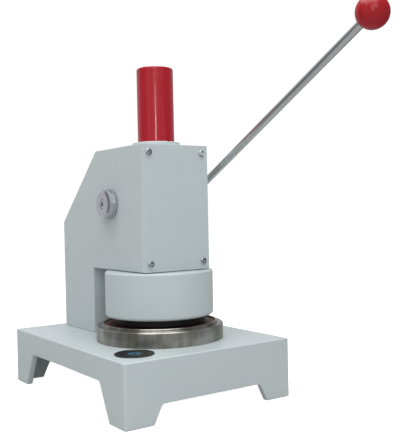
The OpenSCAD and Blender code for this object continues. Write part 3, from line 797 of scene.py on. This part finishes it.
# ---- Drum ----
# A deep cast cover over the cutting head, turned outside, painted like the casting and bolted
# under it on a raised seat that leaves a dark seam.
drum_low, drum_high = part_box("drum")
drum_r = (drum_high.x - drum_low.x) / 2
drum_shoulder = drum_high.z - 0.0009
drum_edge_r = 0.0045
drum_top_edge_r = 0.0028
drum_bore_r = drum_r - 0.009
drum_bore_chamfer = 0.001
drum_ceiling = drum_shoulder - 0.0092
drum_seat_r = 0.044
ram_hole_r = 0.0206
drum_outline = (
    [(ram_hole_r, drum_ceiling), (drum_bore_r, drum_ceiling)]
    + [(drum_bore_r, drum_low.z + drum_bore_chamfer), (drum_bore_r + drum_bore_chamfer, drum_low.z)]
    + arc(drum_r - drum_edge_r, drum_low.z + drum_edge_r, drum_edge_r, -90, 0, 7)
    + arc(drum_r - drum_top_edge_r, drum_shoulder - drum_top_edge_r, drum_top_edge_r, 0, 90, 7)
    + [(drum_seat_r, drum_shoulder), (drum_seat_r, drum_high.z)]
    + [(ram_hole_r, drum_high.z), (ram_hole_r, drum_ceiling)]
)
drum_cover = turn_piece("drum_cover", drum_outline, press_axis, sides=160)
finish_piece(drum_cover, casting_paint, "frame", "cast_paint", "drum")

# ---- Anvil ----
# A table turned from a steel bar: an outer step with a broken edge, a lip that keeps the pad in
# place, and a flat seat inside it. It is bolted to the base from below.
anvil_low, anvil_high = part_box("anvil")
anvil_r = (anvil_high.x - anvil_low.x) / 2
step_z = anvil_low.z + 0.0202
step_chamfer = 0.0012
lip_r = 0.080
lip_chamfer = 0.0006
fine_chamfer = 0.0004
pad_low, pad_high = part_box("cutting_pad")
pad_r = (pad_high.x - pad_low.x) / 2
seat_r = pad_r + 0.00005
anvil_outline = [
    (0, anvil_low.z),
    (anvil_r - lip_chamfer, anvil_low.z),
    (anvil_r, anvil_low.z + lip_chamfer),
    (anvil_r, step_z - step_chamfer),
    (anvil_r - step_chamfer, step_z),
    (lip_r + fine_chamfer, step_z),
    (lip_r, step_z + fine_chamfer),
    (lip_r, anvil_high.z - lip_chamfer),
    (lip_r - lip_chamfer, anvil_high.z),
    (seat_r + fine_chamfer, anvil_high.z),
    (seat_r, anvil_high.z - fine_chamfer),
    (seat_r, pad_low.z),
    (0, pad_low.z),
]
anvil_table = turn_piece("anvil_table", anvil_outline, press_axis, sides=192)
anvil_steel = metal_material(
    "anvil_steel", (0.62, 0.61, 0.58), (0.34, 0.335, 0.31), 0.3, 0.00002, press_axis
)

# Painted reflections: darker brown and brighter bands that run down the rim, by their place round the
# axis
rim_painted_reflections, reflections_in, reflections_out = add_group(
    "rim_painted_reflections", [("Vector", "NodeSocketVector", None)], [("Mask", "NodeSocketFloat")]
)
level = rim_painted_reflections.nodes.new("ShaderNodeVectorMath")
level.operation = "MULTIPLY"
level.inputs[1].default_value = (1, 1, 0.3)
rim_painted_reflections.links.new(reflections_in.outputs["Vector"], level.inputs[0])
bearing_out = rim_painted_reflections.nodes.new("ShaderNodeVectorMath")
bearing_out.operation = "NORMALIZE"
rim_painted_reflections.links.new(level.outputs["Vector"], bearing_out.inputs[0])
reflection_noise = noise_in(rim_painted_reflections, bearing_out.outputs["Vector"], scale=3.2, detail=3.0)
reflection_above = math_in(rim_painted_reflections, "SUBTRACT", reflection_noise, 0.38)
reflection_spread = math_in(rim_painted_reflections, "MULTIPLY", reflection_above, 4.0)
reflection_limit = rim_painted_reflections.nodes.new("ShaderNodeClamp")
rim_painted_reflections.links.new(reflection_spread, reflection_limit.inputs["Value"])
rim_painted_reflections.links.new(reflection_limit.outputs["Result"], reflections_out.inputs["Mask"])

# The dark tone of the painted reflection bands on the rim.
painted_reflection_dark = (0.17, 0.165, 0.135)
anvil_nodes = anvil_steel.node_tree.nodes
anvil_links = anvil_steel.node_tree.links
anvil_shader = anvil_nodes["Principled BSDF"]
anvil_tone = anvil_shader.inputs["Base Color"].links[0].from_socket
anvil_place = object_place(anvil_nodes, anvil_links, press_axis)
anvil_reflections = place_group(anvil_nodes, anvil_links, rim_painted_reflections, anvil_place)
anvil_reflected_tone = blend_colours(
    anvil_nodes, anvil_links, anvil_reflections.outputs["Mask"], painted_reflection_dark, anvil_tone
)
anvil_links.new(anvil_reflected_tone, anvil_shader.inputs["Base Color"])
finish_piece(anvil_table, anvil_steel, "frame", "anvil_steel", "anvil")

# ---- Cutting pad ----
# A replaceable disc of hard red-brown plastic, pressed into the anvil, with fine round scores
# about its middle.
pad_outline = (
    [(0, pad_low.z), (pad_r, pad_low.z), (pad_r, pad_high.z - fine_chamfer)]
    + [(pad_r - fine_chamfer, pad_high.z), (0, pad_high.z)]
)
pad_disc = turn_piece("pad_disc", pad_outline, press_axis, sides=160)
pad_plastic, pad_nodes, pad_links = new_material("pad_plastic")
pad_shader = pad_nodes["Principled BSDF"]
pad_place = object_place(pad_nodes, pad_links, press_axis)
pad_skin = place_group(pad_nodes, pad_links, paint_skin, pad_place, Lump_Scale=1600.0)
pad_marks = place_group(pad_nodes, pad_links, lathe_marks, pad_place, Ring_Scale=700.0)
pad_tone = blend_colours(
    pad_nodes, pad_links, pad_skin.outputs["Cloud"], (0.17, 0.060, 0.045), (0.12, 0.042, 0.034)
)
pad_scored = blend_colours(
    pad_nodes, pad_links, pad_marks.outputs["Tone"], pad_tone, (0.08, 0.032, 0.028)
)
pad_links.new(pad_scored, pad_shader.inputs["Base Color"])
pad_shader.inputs["Roughness"].default_value = 0.5
add_bump(pad_nodes, pad_links, pad_shader, pad_marks.outputs["Height"], 0.00004)
finish_piece(pad_disc, pad_plastic, "frame", "pad_plastic", "cutting_pad")

# ---- Presser ring ----
# A thin steel ring round the blade, finished in a dull black. It hangs from the blade carrier on
# guide screws, and holds the sheet down before the blade comes through.
ring_low, ring_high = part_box("presser_ring")
ring_r = 0.0632
ring_bore_r = 0.05922
ring_chamfer = 0.0005
flange_z = ring_high.z - 0.004
flange_r = (ring_high.x - ring_low.x) / 2
presser_outline = [
    (ring_bore_r, ring_low.z),
    (ring_r - ring_chamfer, ring_low.z),
    (ring_r, ring_low.z + ring_chamfer),
    (ring_r, flange_z),
    (flange_r, flange_z),
    (flange_r, ring_high.z),
    (ring_bore_r, ring_high.z),
    (ring_bore_r, ring_low.z),
]
presser_band = turn_piece("presser_band", presser_outline, press_axis, sides=160)
presser_black = metal_material(
    "presser_black", (0.012, 0.013, 0.014), (0.006, 0.006, 0.007), 0.45, 0.00001, press_axis
)
presser_shader = presser_black.node_tree.nodes["Principled BSDF"]
presser_shader.inputs["Metallic"].default_value = 0.0
presser_shader.inputs["Specular IOR Level"].default_value = 0.3
finish_piece(presser_band, presser_black, "presser", "presser_black", "presser_ring")

# ---- Spring tube ----
# A steel tube with a closed top that covers the return spring, sprayed glossy red and pressed
# into the collar on top of the casing.
tube_low, tube_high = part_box("spring_tube")
tube_r = (tube_high.x - tube_low.x) / 2
tube_edge_r = 0.0022
tube_wall = 0.0026
tube_inner_r = tube_r - tube_wall
tube_outline = (
    [(tube_inner_r, tube_low.z), (tube_r, tube_low.z)]
    + arc(tube_r - tube_edge_r, tube_high.z - tube_edge_r, tube_edge_r, 0, 90, 7)
    + [(0, tube_high.z)]
)
tube_outer = turn_piece("red_spring_tube", tube_outline, press_axis, sides=128)
close_holes(tube_outer)
hole_start = (0, press_y, tube_low.z - through)
hole_end = (0, press_y, tube_high.z - tube_wall)
cut_away(tube_outer, new_bar("tube_hole", tube_inner_r, hole_start, hole_end, 128))
shade_turned(tube_outer)
tube_red = paint_material(
    "tube_red",
    (0.40, 0.010, 0.022),
    (0.36, 0.008, 0.018),
    edge=None,
    roughness=0.16,
    lump_depth=0.000005,
)
finish_piece(tube_outer, tube_red, "frame", "tube_red", "spring_tube")

# ---- Tube collar ----
# A low flange round the tube's foot, painted with the casing and screwed to its top.
collar_low, collar_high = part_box("tube_collar")
collar_r = (collar_high.x - collar_low.x) / 2
collar_bore_r = tube_r + 0.00005
collar_chamfer = 0.0008
sink_reach = 0.0293
sink_r = 0.0036
sink_depth = 0.004
sink_bearings = (30, 150, 270)
collar_outline = [
    (collar_bore_r, collar_low.z),
    (collar_r, collar_low.z),
    (collar_r, collar_high.z - collar_chamfer),
    (collar_r - collar_chamfer, collar_high.z),
    (collar_bore_r + fine_chamfer, collar_high.z),
    (collar_bore_r, collar_high.z - fine_chamfer),
    (collar_bore_r, collar_low.z),
]
collar = turn_piece("tube_foot_collar", collar_outline, press_axis, sides=128)
for sink_bearing in sink_bearings:
    bearing = math.radians(sink_bearing)
    sink_x = sink_reach * math.cos(bearing)
    sink_y = press_y + sink_reach * math.sin(bearing)
    sink_start = (sink_x, sink_y, collar_high.z - sink_depth)
    sink_end = (sink_x, sink_y, collar_high.z + through)
    cut_away(collar, new_bar("screw_sink", sink_r, sink_start, sink_end, 40))
shade_turned(collar)
finish_piece(collar, casting_paint, "frame", "cast_paint", "tube_collar")

# ---- Hub cap ----
# A turned steel cap on the left end of the lever shaft, nickel plated, with a groove round its
# rim and a broken face. A socket screw in its middle holds it to the shaft.
cap_low, cap_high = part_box("hub_cap")
cap_r = (cap_high.y - cap_low.y) / 2
cap_t = cap_high.x - cap_low.x
cap_bore_r = 0.0041
cap_chamfer = 0.0005
cap_front_chamfer = 0.0022
cap_face_r = cap_r - 0.0035
groove_r = cap_r - 0.0012
groove_start = 0.0036
groove_end = 0.0046
screw_seat_r = 0.0067
seat_floor = cap_t - 0.0065
cap_outline = (
    [(cap_bore_r, 0), (cap_r - cap_chamfer, 0), (cap_r, cap_chamfer), (cap_r, groove_start)]
    + [(groove_r, groove_start), (groove_r, groove_end), (cap_r, groove_end)]
    + [(cap_r, cap_t - cap_front_chamfer), (cap_face_r, cap_t), (screw_seat_r + cap_chamfer, cap_t)]
    + [(screw_seat_r, cap_t - cap_chamfer), (screw_seat_r, seat_floor), (cap_bore_r, seat_floor)]
    + [(cap_bore_r, 0)]
)
hub_cap = turn_piece("turned_hub_cap", cap_outline, (cap_high.x, shaft_y, shaft_z), (-1, 0, 0), 96)
along_shaft = (0, math.pi / 2, 0)
cap_nickel = metal_material(
    "cap_nickel", (0.70, 0.73, 0.74), (0.50, 0.52, 0.53), 0.22, 0.00002, shaft_axis, along_shaft
)
finish_piece(hub_cap, cap_nickel, "lever", "cap_nickel", "hub_cap")

head_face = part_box("hub_screw")[0].x
head_r = 0.0065
head_t = 0.006
head_chamfer = 0.0007
hub_shank_r = 0.004
hub_shank_len = 0.022
hub_shank_tip = 0.0038
hexagon_r = 0.0036
hexagon_depth = 0.0035
hub_screw_outline = (
    [(0, -hub_shank_len), (hub_shank_tip, -hub_shank_len)]
    + [(hub_shank_r, cap_chamfer - hub_shank_len), (hub_shank_r, 0)]
    + [(head_r, 0), (head_r, head_t - head_chamfer), (head_r - head_chamfer, head_t), (0, head_t)]
)
hub_screw_place = (head_face + head_t, shaft_y, shaft_z)
hub_screw = turn_piece("hub_socket_screw", hub_screw_outline, hub_screw_place, (-1, 0, 0), 64)
hexagon_start = (head_face - through, shaft_y, shaft_z)
hexagon_end = (head_face + hexagon_depth, shaft_y, shaft_z)
cut_away(hub_screw, new_bar("hexagon", hexagon_r, hexagon_start, hexagon_end, 6))
shade_turned(hub_screw)
finish_piece(hub_screw, cap_nickel, "lever", "cap_nickel", "hub_screw")

# ---- Lever ----
# A drawn steel rod, polished along its length, screwed into a steel boss behind the casing. The
# ball is moulded thermoset with a soft gloss, threaded on to the rod's end.
lever_tilt = math.radians(28.1)
lever_line = Vector((0, -math.cos(lever_tilt), math.sin(lever_tilt)))
lever_foot = Vector((0.0715, shaft_y, shaft_z))
lever_len = 0.419
rod_r = 0.005
rod_start = 0.0095
rod_end = lever_len - 0.004
rod_chamfer = 0.0005
rod_turn = lever_line.to_track_quat("Z", "Y").inverted().to_euler()
rod_outline = (
    [(0, rod_start), (rod_r - rod_chamfer, rod_start), (rod_r, rod_start + rod_chamfer)]
    + [(rod_r, rod_end - rod_chamfer), (rod_r - rod_chamfer, rod_end), (0, rod_end)]
)
lever_rod = turn_piece("lever_bar", rod_outline, lever_foot, lever_line, 64)

# Streaks along the rod's own Z axis: die and polishing marks in its height, and light and dark streaks
# in its tone that are painted reflections
rod_marks_and_painted_streaks, streaks_in, streaks_out = add_group(
    "rod_marks_and_painted_streaks",
    [("Vector", "NodeSocketVector", None)],
    [("Height", "NodeSocketFloat"), ("Tone", "NodeSocketFloat")],
)
stretch = rod_marks_and_painted_streaks.nodes.new("ShaderNodeVectorMath")
stretch.operation = "MULTIPLY"
stretch.inputs[1].default_value = (1, 1, 0.02)
rod_marks_and_painted_streaks.links.new(streaks_in.outputs["Vector"], stretch.inputs[0])
streak_and_reflection_noise = noise_in(rod_marks_and_painted_streaks, stretch.outputs["Vector"], scale=420.0, detail=3.0)
rod_marks_and_painted_streaks.links.new(streak_and_reflection_noise, streaks_out.inputs["Height"])
rod_marks_and_painted_streaks.links.new(streak_and_reflection_noise, streaks_out.inputs["Tone"])
# The pale and dark tones paint light and dark reflection streaks along the rod.
rod_steel = metal_material(
    "rod_steel",
    (0.84, 0.85, 0.84),
    (0.40, 0.41, 0.41),
    roughness=0.16,
    mark_depth=0.000002,
    centre=lever_foot,
    turn=rod_turn,
    tool_marks=rod_marks_and_painted_streaks,
)
finish_piece(lever_rod, rod_steel, "lever", "rod_steel", "lever_rod")

ball_r = 0.019
neck_r = 0.0064
neck_dip = lever_len - math.sqrt(ball_r**2 - neck_r**2)
neck_chamfer = 0.0006
ball_bore_r = rod_r + 0.00005
ball_bore_end = rod_end + 0.0005
ball_steps = 40
neck_angle = math.degrees(math.asin(neck_r / ball_r))
ball_outline = (
    [(ball_bore_r, ball_bore_end), (ball_bore_r, neck_dip + neck_chamfer)]
    + [(rod_r + neck_chamfer, neck_dip)]
    + arc(0, lever_len, ball_r, neck_angle - 90, 90, ball_steps)[:-1]
    + [(0, lever_len + ball_r)]
)
ball = turn_piece("lever_ball", ball_outline, lever_foot, lever_line, 96)
close_holes(ball)
shade_turned(ball)
ball_red = paint_material(
    "ball_red",
    (0.36, 0.007, 0.013),
    (0.32, 0.005, 0.011),
    edge=None,
    roughness=0.26,
    lump_depth=0.000002,
)
ball_red.node_tree.nodes["Principled BSDF"].inputs["Specular IOR Level"].default_value = 0.35
finish_piece(ball, ball_red, "lever", "ball_red", "ball_knob")

boss_low, boss_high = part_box("lever_boss")
boss_r = (boss_high.y - boss_low.y) / 2
boss_t = boss_high.x - boss_low.x
boss_back_chamfer = 0.0008
boss_front_chamfer = 0.002
boss_bore_chamfer = 0.0006
boss_edge_r = 0.0004
boss_reach = 0.03
rod_hole_start = 0.006
shaft_r = 0.009
pin_r = 0.003
pin_x = 0.061
boss_outline = (
    [(shaft_r, 0), (boss_r - boss_back_chamfer, 0), (boss_r, boss_back_chamfer)]
    + [(boss_r, boss_t - boss_front_chamfer), (boss_r - boss_front_chamfer, boss_t)]
    + [(shaft_r + boss_bore_chamfer, boss_t), (shaft_r, boss_t - boss_bore_chamfer), (shaft_r, 0)]
)
boss = turn_piece(
    "lever_boss_turned", boss_outline, (boss_low.x, shaft_y, shaft_z), (1, 0, 0), 96
)
hole_start = lever_foot + lever_line * rod_hole_start
hole_end = lever_foot + lever_line * boss_reach
rod_hole = new_bar("rod_hole", rod_r, hole_start, hole_end, 48)
pin_run = Vector((0, math.sin(lever_tilt), math.cos(lever_tilt))) * boss_reach
pin_middle = Vector((pin_x, shaft_y, shaft_z))
pin_hole = new_bar("pin_hole", pin_r, pin_middle - pin_run, pin_middle + pin_run, 40)
cut_away(boss, rod_hole, pin_hole)
soften_edges(boss, boss_edge_r, segments=2)
ground_steel = metal_material(
    "ground_steel", (0.5, 0.49, 0.47), (0.38, 0.37, 0.36), 0.3, 0.00002, shaft_axis, along_shaft
)
finish_piece(boss, ground_steel, "lever", "ground_steel", "lever_boss")

# ---- Badge ----
# A round enamelled disc let into the front left corner of the base: a dark field, a raised rim
# and a plain blue ring.
badge_low, badge_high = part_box("badge")
badge_r = (badge_high.x - badge_low.x) / 2
badge_centre = Vector(((badge_low.x + badge_high.x) / 2, (badge_low.y + badge_high.y) / 2, 0))
badge_chamfer = 0.0003
badge_rim = 0.0014
badge_field_r = badge_r - 0.0018
badge_field_z = badge_high.z - 0.0005
badge_dome_r = 0.006
badge_dome_z = badge_high.z - 0.0004
badge_outline = (
    [(0, badge_low.z), (badge_r, badge_low.z), (badge_r, badge_high.z - badge_chamfer)]
    + [(badge_r - badge_chamfer, badge_high.z), (badge_r - badge_rim, badge_high.z)]
    + [(badge_field_r, badge_field_z), (badge_dome_r, badge_field_z), (0, badge_dome_z)]
)
badge_disc = turn_piece("badge_disc", badge_outline, badge_centre, sides=96)
badge_black = (0.006, 0.008, 0.011)
badge_core = (0.010, 0.014, 0.020)
badge_blue = (0.045, 0.13, 0.21)
band_colours = [
    # distance from the middle as a share of the radius, colour
    (0.0, badge_core),
    (0.11, badge_core),
    (0.15, badge_blue),
    (0.32, badge_blue),
    (0.36, badge_black),
]
badge_enamel, badge_nodes, badge_links = new_material("badge_enamel")
badge_shader = badge_nodes["Principled BSDF"]
badge_place = object_place(badge_nodes, badge_links, badge_centre)
badge_flat = badge_nodes.new("ShaderNodeVectorMath")
badge_flat.operation = "MULTIPLY"
badge_flat.inputs[1].default_value = (1 / badge_r, 1 / badge_r, 0)
badge_links.new(badge_place, badge_flat.inputs[0])
badge_distance = badge_nodes.new("ShaderNodeVectorMath")
badge_distance.operation = "LENGTH"
badge_links.new(badge_flat.outputs["Vector"], badge_distance.inputs[0])
badge_bands = badge_nodes.new("ShaderNodeValToRGB")
for position, colour in band_colours:
    stop = badge_bands.color_ramp.elements.new(position)
    stop.color = (*colour, 1)
badge_bands.color_ramp.elements.remove(badge_bands.color_ramp.elements[0])
badge_bands.color_ramp.elements[-1].color = (*badge_black, 1)
badge_links.new(badge_distance.outputs["Value"], badge_bands.inputs["Fac"])
badge_links.new(badge_bands.outputs["Color"], badge_shader.inputs["Base Color"])
badge_skin = place_group(badge_nodes, badge_links, paint_skin, badge_place, Lump_Scale=2500.0)
badge_gloss = spread_value(badge_nodes, badge_links, badge_skin.outputs["Cloud"], 0.24, 0.06)
badge_links.new(badge_gloss, badge_shader.inputs["Roughness"])
add_bump(badge_nodes, badge_links, badge_shader, badge_skin.outputs["Height"], 0.00002)
finish_piece(badge_disc, badge_enamel, "frame", "badge_black", "badge")

# ---- Inner pieces ----
# What the casing, the drum and the tube hide keeps its shape from the frame: bushes, bolts, the
# ram and its rack, the blade and the springs. Each gets the finish of its own metal or rubber.
bronze = metal_material("bronze", (0.6, 0.4, 0.17), (0.48, 0.3, 0.12), 0.34, 0.00002, press_axis)
ram_steel = metal_material(
    "ram_steel", (0.55, 0.54, 0.52), (0.42, 0.41, 0.4), 0.27, 0.00002, press_axis
)
blade_steel = metal_material(
    "blade_steel", (0.66, 0.66, 0.65), (0.5, 0.5, 0.49), 0.2, 0.00001, press_axis
)
black_steel = metal_material(
    "black_steel", (0.035, 0.035, 0.038), (0.02, 0.02, 0.022), 0.42, 0.00001
)
spring_steel = metal_material(
    "spring_steel", (0.34, 0.33, 0.32), (0.24, 0.235, 0.23), 0.35, 0.00002
)
plate_aluminium = metal_material(
    "plate_aluminium", (0.74, 0.75, 0.76), (0.62, 0.63, 0.64), 0.3, 0.00003, press_axis
)

black_rubber, rubber_nodes, rubber_links = new_material("black_rubber")
rubber_shader = rubber_nodes["Principled BSDF"]
rubber_place = object_place(rubber_nodes, rubber_links)
rubber_skin = place_group(rubber_nodes, rubber_links, paint_skin, rubber_place, Lump_Scale=1200.0)
rubber_lumps = rubber_skin.outputs["Height"]
rubber_tone = blend_colours(
    rubber_nodes, rubber_links, rubber_lumps, (0.012, 0.012, 0.012), (0.035, 0.035, 0.034)
)
rubber_links.new(rubber_tone, rubber_shader.inputs["Base Color"])
rubber_shader.inputs["Roughness"].default_value = 0.85
add_bump(rubber_nodes, rubber_links, rubber_shader, rubber_lumps, 0.0002)

inner_finishes = [
    (bronze, ["lower_guide_bush", "upper_guide_bush", "shaft_bush_left", "shaft_bush_right"]),
    (ram_steel, ["ram", "spring_seat", "blade_carrier", "presser_screws", "ejector_pins"]),
    (ground_steel, ["lever_shaft", "pinion_key", "thrust_washers"]),
    (black_steel, ["pinion", "boss_pin", "seat_nut", "carrier_bolt", "blade_screws", "collar_screws"]),
    (black_steel, ["column_bolts", "anvil_bolts", "drum_bolts"]),
    (blade_steel, ["ring_blade"]),
    (spring_steel, ["return_spring", "presser_springs", "ejector_springs"]),
    (plate_aluminium, ["ejector_plate"]),
    (black_rubber, ["ejector_pad", "ram_buffer"]),
]
for finish, names in inner_finishes:
    for inner_name in names:
        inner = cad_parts[inner_name]
        inner.data.materials.clear()
        inner.data.materials.append(finish)
